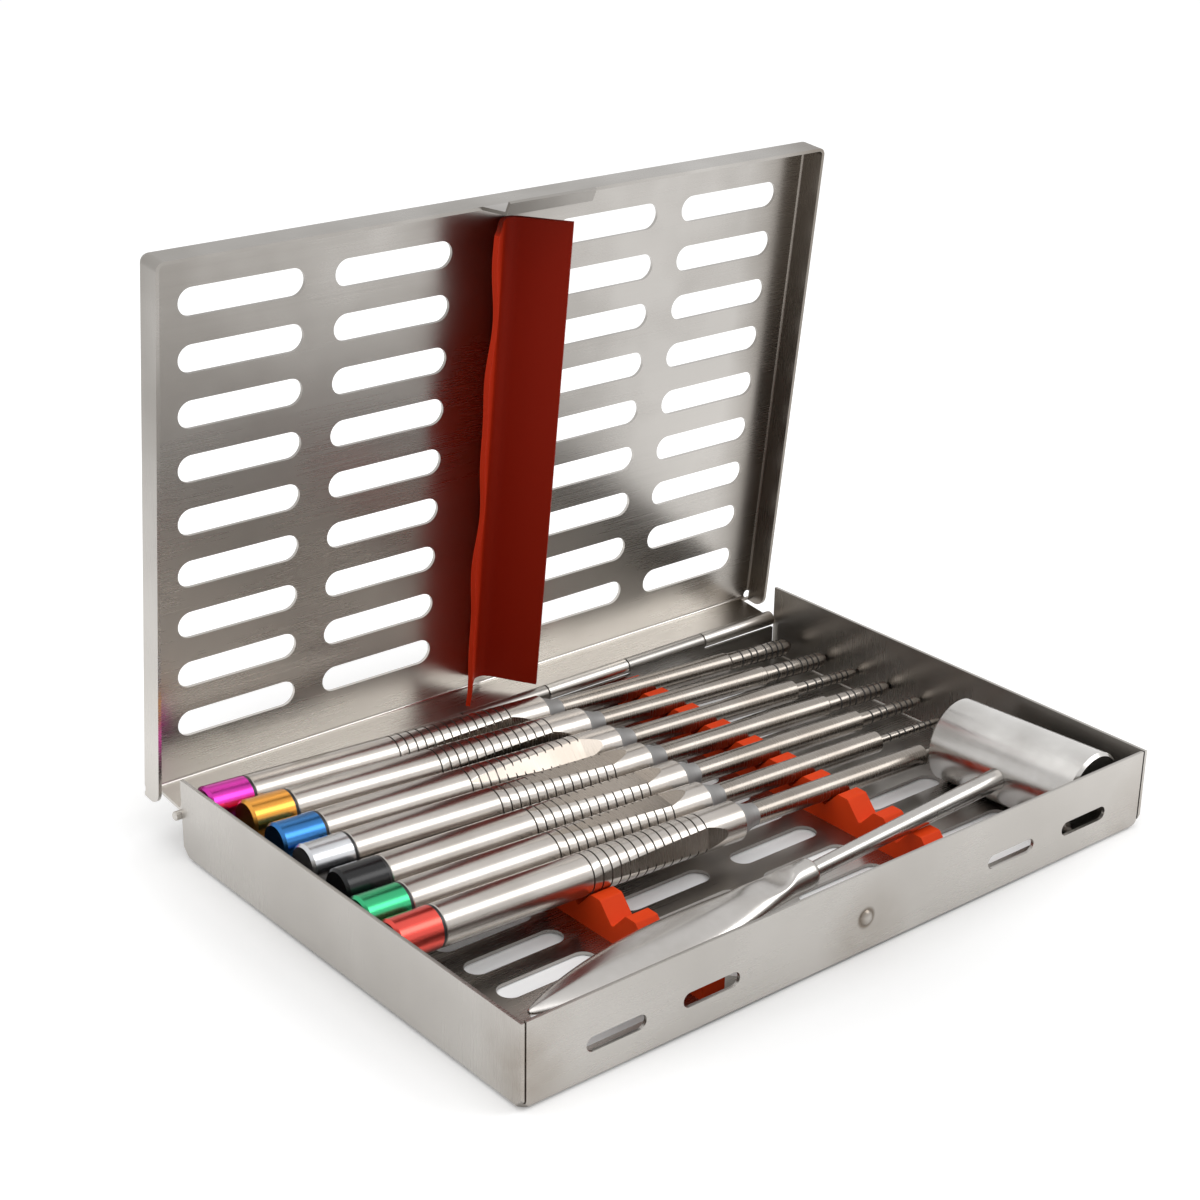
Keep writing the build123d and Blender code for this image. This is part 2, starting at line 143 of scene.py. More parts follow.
table_spot = table_tree.nodes.new("ShaderNodeTexCoord")
table_reach = table_tree.nodes.new("ShaderNodeVectorMath")
table_reach.operation = "LENGTH"
table_tree.links.new(table_spot.outputs["Object"], table_reach.inputs[0])
glow_share = add_range(table_tree, table_reach.outputs["Value"], glow_start, glow_full, 0.0, table_glow)
glow_seen = add_math(table_tree, "MULTIPLY", glow_share, table_seen)
table_tree.links.new(glow_seen, table_shader.inputs["Emission Strength"])
table_mesh.materials.append(table_white)

room = bpy.data.worlds.new("white_room")
bpy.context.scene.world = room
room.use_nodes = True
room_tree = room.node_tree
room_shader = room_tree.nodes["Background"]
room_shader.inputs["Color"].default_value = (1, 1, 1, 1)
room_ray = room_tree.nodes.new("ShaderNodeLightPath").outputs
room_seen = add_math(room_tree, "MAXIMUM", room_ray["Is Camera Ray"], room_ray["Is Glossy Ray"])
room_seen = add_math(room_tree, "MAXIMUM", room_seen, room_ray["Is Transmission Ray"])
room_level = add_range(room_tree, room_seen, 0.0, 1.0, room_light_level, room_white_level)
room_tree.links.new(room_level, room_shader.inputs["Strength"])


def soft_box(name, place, length, width, power):
    """One lamp that faces the object, its long side level with the object's, in metres and watts."""
    lamp_data = bpy.data.lights.new(name, "AREA")
    lamp_data.shape = "RECTANGLE"
    lamp_data.size = length
    lamp_data.size_y = width
    lamp_data.energy = power
    lamp = bpy.data.objects.new(name, lamp_data)
    object_middle = Vector((0, 0, 30 * mm))
    back = (Vector(place) - object_middle).normalized()
    side = (Vector((1, 0, 0)) - back * back.x).normalized()
    axes = Matrix((side, back.cross(side), back)).transposed().to_4x4()
    lamp.matrix_world = Matrix.Translation(place) @ axes
    bpy.context.scene.collection.objects.link(lamp)


soft_box("overhead_soft_box", (-0.25, -0.1, 1.0), length=1.1, width=1.1, power=4.4)
soft_box("right_soft_box", (0.63, -0.50, 0.68), length=0.75, width=0.42, power=2.9)

# --- Tray and lid ---
# Each is folded from one stainless sheet with a fine straight grain, upright on the end walls.
# It has faint clouds from handling and polishing and brown heat tint at some corners. Light
# and shade are painted into its colour too: painted light on the tray's outer faces and on the
# lid near the hinge, painted shade at the lid's left end, a painted dark reflection at its
# right end, and a painted shade ring round the pressed dimple.
sheet_light = (0.43, 0.412, 0.39)
sheet_dark = (0.32, 0.303, 0.282)
# The next dark colour is painted shade and painted dark reflection; the bright one after it is painted light.
painted_dark_sheet = (0.17, 0.145, 0.12)
painted_light_sheet = (0.68, 0.65, 0.61)
heat_tint = (0.22, 0.165, 0.115)
grain_along = 9.0
grain_across = 2600.0
end_wall_facing = 0.7
tray_low, tray_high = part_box("tray_shell")
left_x, right_x = tray_low[0], tray_high[0]
dimple_proud = 1.1 * mm
front_y = tray_low[1] + dimple_proud
dimple_middle = (0, front_y, 9.75 * mm)
# Painted shade ring round the dimple: its radius, where it fades and how dark it gets.
shade_ring_radius = 2.1 * mm
shade_ring_full, shade_ring_start = 0.2 * mm, 1.0 * mm
shade_ring_share = 0.9
# Where each painted light and painted shade fade starts and where it is full: in from the skin, or along X or
# Z
skin_start, skin_full = 0.6 * mm, 0.2 * mm
left_full, left_start = -100 * mm, 50 * mm
hinge_full, hinge_start = 20 * mm, 100 * mm
right_start, right_full = right_x - 18 * mm, right_x - 2 * mm
cloud_low, cloud_high = 0.36, 0.64
gloss_low, gloss_high = 0.24, 0.34
fine_gloss = 0.03
tint_reach = 16 * mm
tint_share = 0.6


def new_group(name, inputs, outputs):
    """An empty shader node group with float inputs and outputs."""
    group = bpy.data.node_groups.new(name, "ShaderNodeTree")
    for label, value in inputs.items():
        socket = group.interface.new_socket(label, in_out="INPUT", socket_type="NodeSocketFloat")
        socket.default_value = value
    for label in outputs:
        group.interface.new_socket(label, in_out="OUTPUT", socket_type="NodeSocketFloat")
    group.nodes.new("NodeGroupInput")
    group.nodes.new("NodeGroupOutput")
    return group


def place_group(tree, group, **values):
    """A group's outputs in a material's tree, with its inputs set by name."""
    node = tree.nodes.new("ShaderNodeGroup")
    node.node_tree = group
    for label, value in values.items():
        node.inputs[label].default_value = value
    return node.outputs


def add_axes(tree, vector):
    """The X, Y and Z of a vector."""
    node = tree.nodes.new("ShaderNodeSeparateXYZ")
    tree.links.new(vector, node.inputs[0])
    return node.outputs


def add_vector(tree, x, y, z):
    """A vector put together from three sockets."""
    node = tree.nodes.new("ShaderNodeCombineXYZ")
    for index, value in enumerate((x, y, z)):
        tree.links.new(value, node.inputs[index])
    return node.outputs[0]


def add_distance(tree, place, point):
    """Distance from a fixed point."""
    node = tree.nodes.new("ShaderNodeVectorMath")
    node.operation = "DISTANCE"
    tree.links.new(place, node.inputs[0])
    node.inputs[1].default_value = point
    return node.outputs["Value"]


def add_noise(tree, place, scale, detail, roughness):
    """A noise texture's value at a place; scale is a number or a socket."""
    node = tree.nodes.new("ShaderNodeTexNoise")
    if isinstance(scale, float):
        node.inputs["Scale"].default_value = scale
    else:
        tree.links.new(scale, node.inputs["Scale"])
    node.inputs["Detail"].default_value = detail
    node.inputs["Roughness"].default_value = roughness
    tree.links.new(place, node.inputs["Vector"])
    return node.outputs["Fac"]


def add_tint(tree, factor, first, second):
    """Colour between two colours, or between a colour socket and a colour."""
    node = tree.nodes.new("ShaderNodeMix")
    node.data_type = "RGBA"
    tree.links.new(factor, node.inputs["Factor"])
    if isinstance(first, tuple):
        node.inputs["A"].default_value = (*first, 1)
    else:
        tree.links.new(first, node.inputs["A"])
    node.inputs["B"].default_value = (*second, 1)
    return node.outputs["Result"]


def add_bump(tree, shader, height, strength, distance):
    """Lets a height move the shader's normal."""
    node = tree.nodes.new("ShaderNodeBump")
    node.inputs["Strength"].default_value = strength
    node.inputs["Distance"].default_value = distance
    tree.links.new(height, node.inputs["Height"])
    tree.links.new(node.outputs[0], shader.inputs["Normal"])


def paint(node, material):
    """Puts a material on a CAD node."""
    mesh = frame["nodes"][node].data
    mesh.materials.clear()
    mesh.materials.append(material)


grain = new_group("sheet_grain", {"Along": grain_along, "Across": grain_across}, ("Lines", "Clouds"))
grain_in = grain.nodes["Group Input"].outputs
grain_out = grain.nodes["Group Output"].inputs
grain_place = grain.nodes.new("ShaderNodeTexCoord").outputs
grain_axes = add_axes(grain, grain_place["Object"])
facing_x = add_math(grain, "ABSOLUTE", add_axes(grain, grain_place["Normal"])["X"])
along_x = add_math(grain, "MULTIPLY", grain_axes["X"], grain_in["Along"])
along_z = add_math(grain, "MULTIPLY", grain_axes["Z"], grain_in["Along"])
across_x = add_math(grain, "MULTIPLY", grain_axes["X"], grain_in["Across"])
across_y = add_math(grain, "MULTIPLY", grain_axes["Y"], grain_in["Across"])
across_z = add_math(grain, "MULTIPLY", grain_axes["Z"], grain_in["Across"])
grain_turn = grain.nodes.new("ShaderNodeMix")
grain_turn.data_type = "VECTOR"
grain.links.new(add_math(grain, "GREATER_THAN", facing_x, end_wall_facing), grain_turn.inputs["Factor"])
grain.links.new(add_vector(grain, along_x, across_y, across_z), grain_turn.inputs["A"])
grain.links.new(add_vector(grain, across_x, across_y, along_z), grain_turn.inputs["B"])
grain.links.new(add_noise(grain, grain_turn.outputs["Result"], 1.0, 3.0, 0.6), grain_out["Lines"])
grain.links.new(add_noise(grain, grain_place["Object"], 22.0, 3.0, 0.5), grain_out["Clouds"])


def sheet_finish(name, tint_places, outer_painted_light, hinge_painted_light, left_painted_shade, right_painted_reflection):
    """Brushed sheet with heat tint round each of tint_places.

    The shares say how much painted light the outer faces and the part near the hinge get, how
    much painted shade the left end gets and how dark the painted reflection at the right end is.
    A painted shade ring darkens the sheet round the dimple.
    """
    material, tree, shader = new_material(name, 1.0, 0.3)
    finish = place_group(tree, grain, Along=grain_along, Across=grain_across)
    place = tree.nodes.new("ShaderNodeTexCoord").outputs["Object"]
    axes = add_axes(tree, place)
    clouds = add_range(tree, finish["Clouds"], cloud_low, cloud_high, 0.0, 1.0)
    colour = add_tint(tree, clouds, sheet_light, sheet_dark)
    # Painted shade towards the lid's left end.
    left_shade_mask = add_range(tree, axes["X"], left_full, left_start, left_painted_shade, 0.0)
    colour = add_tint(tree, left_shade_mask, colour, painted_dark_sheet)
    # Painted light on the lid near the hinge.
    hinge_light_mask = add_range(tree, axes["Z"], hinge_full, hinge_start, hinge_painted_light, 0.0)
    colour = add_tint(tree, hinge_light_mask, colour, painted_light_sheet)
    # Painted light on the outer faces of the end walls and the front wall.
    from_middle = add_math(tree, "ABSOLUTE", axes["X"])
    outer_end_light_mask = add_range(tree, from_middle, right_x - skin_start, right_x - skin_full, 0.0, outer_painted_light)
    outer_front_light_mask = add_range(tree, axes["Y"], front_y + skin_full, front_y + skin_start, outer_painted_light, 0.0)
    colour = add_tint(tree, add_math(tree, "MAXIMUM", outer_end_light_mask, outer_front_light_mask), colour, painted_light_sheet)
    # Painted dark reflection at the lid's right end.
    right_reflection_mask = add_range(tree, axes["X"], right_start, right_full, 0.0, right_painted_reflection)
    colour = add_tint(tree, right_reflection_mask, colour, painted_dark_sheet)
    # Painted shade ring round the dimple.
    shade_ring_gap = add_math(tree, "SUBTRACT", add_distance(tree, place, dimple_middle), shade_ring_radius)
    shade_ring_mask = add_range(tree, add_math(tree, "ABSOLUTE", shade_ring_gap), shade_ring_full, shade_ring_start, shade_ring_share, 0.0)
    colour = add_tint(tree, shade_ring_mask, colour, painted_dark_sheet)
    ragged = add_noise(tree, place, 140.0, 2.0, 0.5)
    for tint_place in tint_places:
        near = add_range(tree, add_distance(tree, place, tint_place), 0.0, tint_reach, tint_share, 0.0)
        colour = add_tint(tree, add_math(tree, "MULTIPLY", near, ragged), colour, heat_tint)
    tree.links.new(colour, shader.inputs["Base Color"])
    gloss = add_range(tree, finish["Clouds"], 0.35, 0.65, gloss_low, gloss_high)
    fine = add_range(tree, finish["Lines"], 0.3, 0.7, -fine_gloss, fine_gloss)
    tree.links.new(add_math(tree, "ADD", gloss, fine), shader.inputs["Roughness"])
    add_bump(tree, shader, finish["Lines"], strength=0.06, distance=0.012 * mm)
    return material


tray_tints = [
    (left_x, front_y, 4 * mm),
    (left_x, front_y, 15 * mm),
    (right_x, front_y, 6 * mm),
    (0, front_y, 5 * mm),
]
lid_tints = [(left_x, 85 * mm, 150 * mm), (right_x, 72 * mm, 12 * mm)]
# The tray gets painted light on its outer faces; the lid gets painted light near the hinge, painted shade at
# its left end and a painted dark reflection at its right end.
tray_sheet = sheet_finish(
    "tray_brushed_sheet", tray_tints, outer_painted_light=0.42, hinge_painted_light=0.0, left_painted_shade=0.0, right_painted_reflection=0.0
)
lid_sheet = sheet_finish(
    "lid_brushed_sheet", lid_tints, outer_painted_light=0.0, hinge_painted_light=0.7, left_painted_shade=0.12, right_painted_reflection=0.75
)
paint("tray_shell", tray_sheet)
paint("lid_shell", lid_sheet)
paint("hinge_pin", lid_sheet)

# --- Silicone racks ---
# Two toothed bars of moulded orange-red silicone, pressed into holes in the floor by their
# studs.  They are matte and a little see-through, with faint clouds.


def silicone_finish(name, light, deep, roughness, specular, cloud_scale, softness, softness_reach):
    """Moulded silicone; returns its tree, shader, place and clouded colour too, for a tint."""
    material, tree, shader = new_material(name, 0.0, roughness)
    place = tree.nodes.new("ShaderNodeTexCoord").outputs["Object"]
    cloud = add_noise(tree, place, cloud_scale, 3.0, 0.5)
    colour = add_tint(tree, cloud, light, deep)
    tree.links.new(colour, shader.inputs["Base Color"])
    shader.inputs["Specular IOR Level"].default_value = specular
    shader.inputs["Subsurface Weight"].default_value = softness
    shader.inputs["Subsurface Radius"].default_value = (1.0, 0.25, 0.1)
    shader.inputs["Subsurface Scale"].default_value = softness_reach
    add_bump(tree, shader, cloud, strength=0.15, distance=0.1 * mm)
    return material, tree, shader, place, colour


rack_silicone, *_ = silicone_finish(
    "orange_silicone", (0.75, 0.056, 0.004), (0.61, 0.040, 0.003),
    roughness=0.6, specular=0.15, cloud_scale=90.0, softness=0.15, softness_reach=1.0 * mm,
)
paint("rack_left", rack_silicone)
paint("rack_right", rack_silicone)

# --- Hold-down strip ---
# A soft silicone gull wing glued along the lid.  Its two lips stand well proud of the lid and
# give when they press the instruments down; the left lip's free edge waves a little.
lid_hinge = next(joint for joint in frame["joints"] if joint["name"] == "lid_hinge")
lid_lean = math.radians(90 + lid_hinge["range_deg"][0])
hinge_drop = 14.34
sheet = 0.9
panel_in = Vector((0, -math.cos(lid_lean), -math.sin(lid_lean)))
panel_up = Vector((0, -math.sin(lid_lean), math.cos(lid_lean)))
panel_face = Vector(lid_hinge["pos_m"]) - panel_in * (hinge_drop - sheet) * mm
strip_low, strip_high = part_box("hold_down_strip")
bottom_trim, top_reach = 0.2 * mm, 0.6 * mm
strip_bottom = (strip_low[2] - panel_face.z + bottom_trim) / math.cos(lid_lean)
strip_top = (strip_high[2] - panel_face.z + top_reach) / math.cos(lid_lean)
strip_wall = 1.25
strip_stations = 90
# Across the strip and out from the lid, from the left lip's edge to the spine
left_lip = [(-12.0, 12.2), (-8.7, 8.6), (-5.3, 4.6), (-3.4, 2.5), (-2.2, 1.35), (-1.2, 0.85)]
strip_path = left_lip + [(0, 0.7)] + [(-x, z) for x, z in reversed(left_lip)]
spine_half = 2.0
lip_span = 10.0
# Height, rate and start of the waves in the left lip's free edge
lip_waves = [(0.55, 17.0, 0.0), (0.35, 31.0, 1.0)]
flare_start = 3.0
lip_flare = 0.0875
sharp_angle = math.radians(20)
# The right lip is painted a deeper red as painted shade, from just left of the spine; the left lip keeps the
# lighter, lit red.
deep_red_lip_shade = (0.25, 0.010, 0.001)
lip_shade_start, lip_shade_end = -3 * mm, -1 * mm

strip_silicone, strip_tree, strip_shader, strip_place, strip_colour = silicone_finish(
    "red_orange_silicone", (0.50, 0.026, 0.005), (0.42, 0.020, 0.003),
    roughness=0.55, specular=0.1, cloud_scale=60.0, softness=0.1, softness_reach=0.8 * mm,
)
strip_x = add_axes(strip_tree, strip_place)["X"]
# Painted shade: the right lip darkens to a deeper red.
lip_shade_mask = add_range(strip_tree, strip_x, lip_shade_start, lip_shade_end, 0.0, 1.0)
strip_shaded_colour = add_tint(strip_tree, lip_shade_mask, strip_colour, deep_red_lip_shade)
strip_tree.links.new(strip_shaded_colour, strip_shader.inputs["Base Color"])


def offset_path(path, distance):
    """path moved sideways by distance."""
    moved = []
    for index, (x, z) in enumerate(path):
        before = path[max(index - 1, 0)]
        after = path[min(index + 1, len(path) - 1)]
        run, rise = after[0] - before[0], after[1] - before[1]
        length = math.hypot(run, rise)
        moved.append((x - rise / length * distance, z + run / length * distance))
    return moved


def join_rings(shape, rings):
    """Faces between neighbouring rings of points, as one list for each pair of rings."""
    bands = []
    for ring, next_ring in zip(rings, rings[1:]):
        band = []
        for step in range(len(ring)):
            after = (step + 1) % len(ring)
            band.append(shape.faces.new((ring[step], ring[after], next_ring[after], next_ring[step])))
        bands.append(band)
    return bands


def new_piece(name, shape, body, slot_name, *materials):
    """An object from a bmesh, riding a body."""
    mesh = bpy.data.meshes.new(name)
    shape.to_mesh(mesh)
    shape.free()
    for material in materials:
        mesh.materials.append(material)
    mesh.shade_smooth()
    mesh.set_sharp_from_angle(angle=sharp_angle)
    piece = bpy.data.objects.new(name, mesh)
    bpy.context.scene.collection.objects.link(piece)
    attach(piece, body)
    return piece


strip_shape = bmesh.new()
strip_rings = []
for station in range(strip_stations + 1):
    share = station / strip_stations
    height = strip_bottom + (strip_top - strip_bottom) * share
    wave = sum(size * math.sin(share * rate + start) for size, rate, start in lip_waves)
    section = [(x + wave * max(0.0, -x - spine_half) / lip_span, z) for x, z in strip_path]
    outline = offset_path(section, strip_wall / 2) + offset_path(section, -strip_wall / 2)[::-1]
    ring = []
    for x, z in outline:
        flare = lip_flare * mm * max(0.0, abs(x) - flare_start) * (share - 0.5)
        point = panel_face + Vector((x * mm, 0, 0)) + panel_in * z * mm + panel_up * (height + flare)
        ring.append(strip_shape.verts.new(point))
    strip_rings.append(ring)
join_rings(strip_shape, strip_rings)
path_count = len(strip_path)
for ring, turned_over in ((strip_rings[0], True), (strip_rings[-1], False)):
    for index in range(path_count - 1):
        across = 2 * path_count - 1 - index
        corners = [ring[index], ring[index + 1], ring[across - 1], ring[across]]
        strip_shape.faces.new(corners[::-1] if turned_over else corners)
bmesh.ops.recalc_face_normals(strip_shape, faces=strip_shape.faces)
strip = new_piece("strip_gull_wing", strip_shape, "lid", "silicone", strip_silicone)
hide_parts("hold_down_strip")
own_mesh(strip)

# --- Osteotomes ---
# Seven instruments turned from round bar: an anodised cap, a black seal ring, a bright handle
# with fourteen fine grooves and a thumb flat, a blasted cone and a shaft with depth marks.
cap_colours = {
    "magenta": (0.66, 0.05, 0.42),
    "gold": (0.84, 0.38, 0.07),
    "blue": (0.05, 0.20, 0.50),
    "silver": (0.64, 0.65, 0.67),
    "black": (0.005, 0.005, 0.006),
    "green": (0.06, 0.50, 0.22),
    "red": (0.78, 0.10, 0.08),
}
cap_dark_share = 0.88
# For each osteotome, the thumb flat's turn from upright in degrees, and the tip's radius
flat_turns = [80, 86, 49, 7, 7, 8, 83]
tip_radii = [2.6, 2.4, 1.7, 2.4, 1.9, 1.15, 1.1]
# Millimetres along the handle from its cap end, and back from the shaft's end for the marks
ring_half = 0.4
handle_radius = 5.25
handle_length = 92.5
handle_chamfers = (0.25, 0.3)
flat_start, flat_end = 43.0, 86.0
flat_runout = 6.0
flat_depth = 0.9
groove_start = 43.0
groove_pitch = 2.8
groove_count = 14
groove_width = 0.45
groove_depth = 0.25
groove_floor_share = 0.32
plain_stops = (20.0, 35.0)
cone_length = 6.4
shaft_radius = 3.0
# Distance and radius down the cone, from the handle's end to the shaft
cone_profile = [(0.0, handle_radius - 0.45), (0.35, handle_radius - 0.5), (1.6, handle_radius - 1.05)]
cone_profile += [(3.4, shaft_radius + 0.55), (5.0, shaft_radius + 0.12)]
shoulder_length = 0.8
tip_length = 25.5
mark_distances = [20.5, 17.05, 14.7, 11.2, 8.9, 6.65, 4.6]
mark_half = 0.3
mark_floor_half = 0.22
mark_depth = 0.07
point_length = 3.2
point_taper = 0.55
point_shares = (0.35, 0.65, 0.85, 0.96, 1.0)
flat_steps = 12
round_steps = 84
runout_steps = 32
least_half = math.radians(0.4)
no_flat = 9.0
end_depth = 0.2 * mm
# Places of a turned piece's materials
plain, groove_or_cone, flat_or_mark = 0, 1, 2

ring_density = 5000.0
patch_density = 60.0
turned = new_group("turned_finish", {"Rings": ring_density, "Patches": patch_density}, ("Lines", "Clouds"))
turned_in = turned.nodes["Group Input"].outputs
turned_out = turned.nodes["Group Output"].inputs
turned_place = turned.nodes.new("ShaderNodeTexCoord").outputs["Object"]
turned_axes = add_axes(turned, turned_place)
turned_x = add_math(turned, "MULTIPLY", turned_axes["X"], turned_in["Rings"])
turned_y = add_math(turned, "MULTIPLY", turned_axes["Y"], turned_in["Patches"])
turned_z = add_math(turned, "MULTIPLY", turned_axes["Z"], turned_in["Patches"])
turned_lines = add_noise(turned, add_vector(turned, turned_x, turned_y, turned_z), 1.0, 2.0, 0.5)
turned.links.new(turned_lines, turned_out["Lines"])
turned_clouds = add_noise(turned, turned_place, turned_in["Patches"], 3.0, 0.5)
turned.links.new(turned_clouds, turned_out["Clouds"])


def turned_finish(name, light, dark, roughness, spread, bump, metallic=1.0):
    """A turned surface: faint rings across the axis and slight clouds."""
    material, tree, shader = new_material(name, metallic, roughness)
    finish = place_group(tree, turned, Rings=ring_density, Patches=patch_density)
    clouds = add_range(tree, finish["Clouds"], 0.35, 0.65, 0.0, 1.0)
    tree.links.new(add_tint(tree, clouds, light, dark), shader.inputs["Base Color"])
    gloss = add_range(tree, finish["Lines"], 0.3, 0.7, roughness - spread, roughness + spread)
    tree.links.new(gloss, shader.inputs["Roughness"])
    add_bump(tree, shader, finish["Lines"], bump, 0.01 * mm)
    return material


handle_steel = turned_finish(
    "handle_bright_steel", (0.53, 0.495, 0.46), (0.46, 0.425, 0.39), 0.25, 0.01, 0.03
)
# The thumb flats are painted darker, as a painted dark reflection.
flat_reflection_steel = turned_finish("flat_painted_reflection_steel", (0.34, 0.305, 0.27), (0.29, 0.255, 0.22), 0.24, 0.05, 0.25)
# The grooves' dark colour is painted shade in the recesses.
groove_shade_steel = turned_finish("groove_painted_shade_steel", (0.17, 0.155, 0.14), (0.13, 0.115, 0.10), 0.35, 0.05, 0.1)
cone_steel = turned_finish("cone_blasted_steel", (0.31, 0.305, 0.30), (0.28, 0.275, 0.27), 0.6, 0.05, 0.3)
shaft_steel = turned_finish("shaft_satin_steel", (0.32, 0.29, 0.26), (0.27, 0.24, 0.21), 0.24, 0.05, 0.25)
mark_black = turned_finish(
    "depth_mark_black", (0.035, 0.032, 0.03), (0.025, 0.023, 0.02), 0.5, 0.05, 0.1, metallic=0.3
)
seal_rubber = turned_finish(
    "seal_black", (0.012, 0.011, 0.011), (0.009, 0.008, 0.008), 0.35, 0.05, 0.0, metallic=0.0
)


def turned_piece(name, body, slot_name, base, along, rows, turn, materials):
    """A turned piece on its axis; rows hold distance, radius, reach of the flat and finish."""
    level = along.cross(Vector((0, 0, 1))).normalized()
    up = level.cross(along)
    shape = bmesh.new()
    rings = []
    for distance, radius, reach, finish in rows:
        half = max(math.acos(min(reach / radius, 1.0)), least_half)
        rest = 2 * math.pi - 2 * half
        angles = [half * (2 * step / flat_steps - 1) for step in range(flat_steps)]
        angles += [half + rest * step / round_steps for step in range(round_steps)]
        ring = []
        for step, angle in enumerate(angles):
            span = min(radius, reach / math.cos(angle)) if step < flat_steps else radius
            direction = up * math.cos(turn + angle) + level * math.sin(turn + angle)
            ring.append(shape.verts.new(base + along * distance * mm + direction * span * mm))
        rings.append(ring)
    for (_, radius, reach, finish), band in zip(rows, join_rings(shape, rings)):
        for step, face in enumerate(band):
            on_flat = step < flat_steps and reach < radius
            face.material_index = flat_or_mark if on_flat else finish
    shape.faces.new(rings[0][::-1])
    shape.faces.new(rings[-1])
    return new_piece(name, shape, body, slot_name, *materials)


def flat_reach(distance):
    """Distance from the handle's axis to the thumb flat."""
    deepest = flat_end - flat_runout
    if distance <= flat_start or distance >= flat_end:
        return handle_radius
    if distance <= deepest:
        return handle_radius - flat_depth * (distance - flat_start) / (deepest - flat_start)
    return handle_radius - flat_depth * (flat_end - distance) / flat_runout


def handle_rows():
    """Rows of a handle: chamfered ends, grooves and the flat's taper."""
    near_chamfer, far_chamfer = handle_chamfers
    cuts = {0.0: near_chamfer, near_chamfer: 0.0}
    cuts.update({handle_length - far_chamfer: 0.0, handle_length: far_chamfer})
    cuts.update({distance: 0.0 for distance in plain_stops})
    for step in range(runout_steps + 1):
        cuts[round(flat_end - flat_runout + flat_runout * step / runout_steps, 3)] = 0.0
    finishes = {}
    for number in range(groove_count):
        middle = groove_start + groove_pitch * number
        edges = [(-0.5, 0.0, groove_or_cone), (-groove_floor_share, groove_depth, groove_or_cone)]
        edges += [(groove_floor_share, groove_depth, groove_or_cone), (0.5, 0.0, plain)]
        for shift, cut, finish in edges:
            distance = round(middle + groove_width * shift, 3)
            cuts[distance] = cut
            finishes[distance] = finish
    rows = []
    for distance in sorted(cuts):
        radius = handle_radius - cuts[distance]
        rows.append((distance, radius, flat_reach(distance), finishes.get(distance, plain)))
    return rows


def shaft_rows(length, tip_radius):
    """Rows of a shaft: blasted cone, plain shaft, shoulder and tip with its depth marks."""
    shoulder = length - tip_length
    point = length - point_length
    rows = [(distance, radius, no_flat, groove_or_cone) for distance, radius in cone_profile]
    rows.append((cone_length, shaft_radius, no_flat, plain))
    rows.append((shoulder, shaft_radius, no_flat, plain))
    rows.append((shoulder + shoulder_length, tip_radius, no_flat, plain))
    for mark in mark_distances:
        middle = length - mark
        rows.append((middle - mark_half, tip_radius, no_flat, flat_or_mark))
        rows.append((middle - mark_floor_half, tip_radius - mark_depth, no_flat, flat_or_mark))
        rows.append((middle + mark_floor_half, tip_radius - mark_depth, no_flat, flat_or_mark))
        rows.append((middle + mark_half, tip_radius, no_flat, plain))
    rows.append((point, tip_radius, no_flat, plain))
    for share in point_shares:
        rows.append((point + point_length * share, tip_radius * (1 - point_taper * share**2), no_flat, plain))
    return sorted(rows)


def end_middle(node_name, side):
    """Middle of a node's right end where side is 1, or of its left end where it is -1."""
    node = frame["nodes"][node_name]
    points = [node.matrix_world @ vertex.co for vertex in node.data.vertices]
    far = max(point.x * side for point in points)
    end_points = [point for point in points if point.x * side > far - end_depth]
    return sum(end_points, Vector()) / len(end_points)


def box_middle(node_name):
    """Middle of a node's box."""
    low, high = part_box(node_name)
    return (Vector(low) + Vector(high)) / 2


for number, (colour_name, colour) in enumerate(cap_colours.items(), 1):
    body = f"osteotome_{number}"
    ring_middle = box_middle(f"{body}_ring")
    tip_end = end_middle(f"{body}_shaft", 1)
    along = (tip_end - ring_middle).normalized()
    handle_base = ring_middle + along * ring_half * mm
    shaft_base = handle_base + along * handle_length * mm
    shaft_length = (tip_end - shaft_base).length / mm
    turn = math.radians(flat_turns[number - 1])
    handle = turned_piece(
        f"{body}_grooved_handle", body, "handle_steel", handle_base, along,
        handle_rows(), turn, (handle_steel, groove_shade_steel, flat_reflection_steel),
    )
    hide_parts(f"{body}_handle")
    shaft = turned_piece(
        f"{body}_marked_shaft", body, "shaft_steel", shaft_base, along,
        shaft_rows(shaft_length, tip_radii[number - 1]), 0.0, (shaft_steel, cone_steel, mark_black),
    )
    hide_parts(f"{body}_shaft")
    cap_shade = tuple(channel * cap_dark_share for channel in colour)
    cap_metallic = 0.2 if colour_name == "black" else 1.0
    cap_finish = turned_finish(f"anodised_{colour_name}", colour, cap_shade, 0.25, 0.01, 0.03, cap_metallic)
    paint(f"{body}_cap", cap_finish)
    paint(f"{body}_ring", seal_rubber)

# --- Mallet ---
# A solid cylindrical head, turned and satin, on a slim round handle.  The handle swells into a
# bulb that is scalloped above and below, and runs on as a flat, leaf-shaped grip.
mallet_steel = turned_finish(
    "mallet_satin_steel", (0.64, 0.625, 0.605), (0.50, 0.485, 0.465), 0.22, 0.04, 0.08
)
paint("mallet_head", mallet_steel)

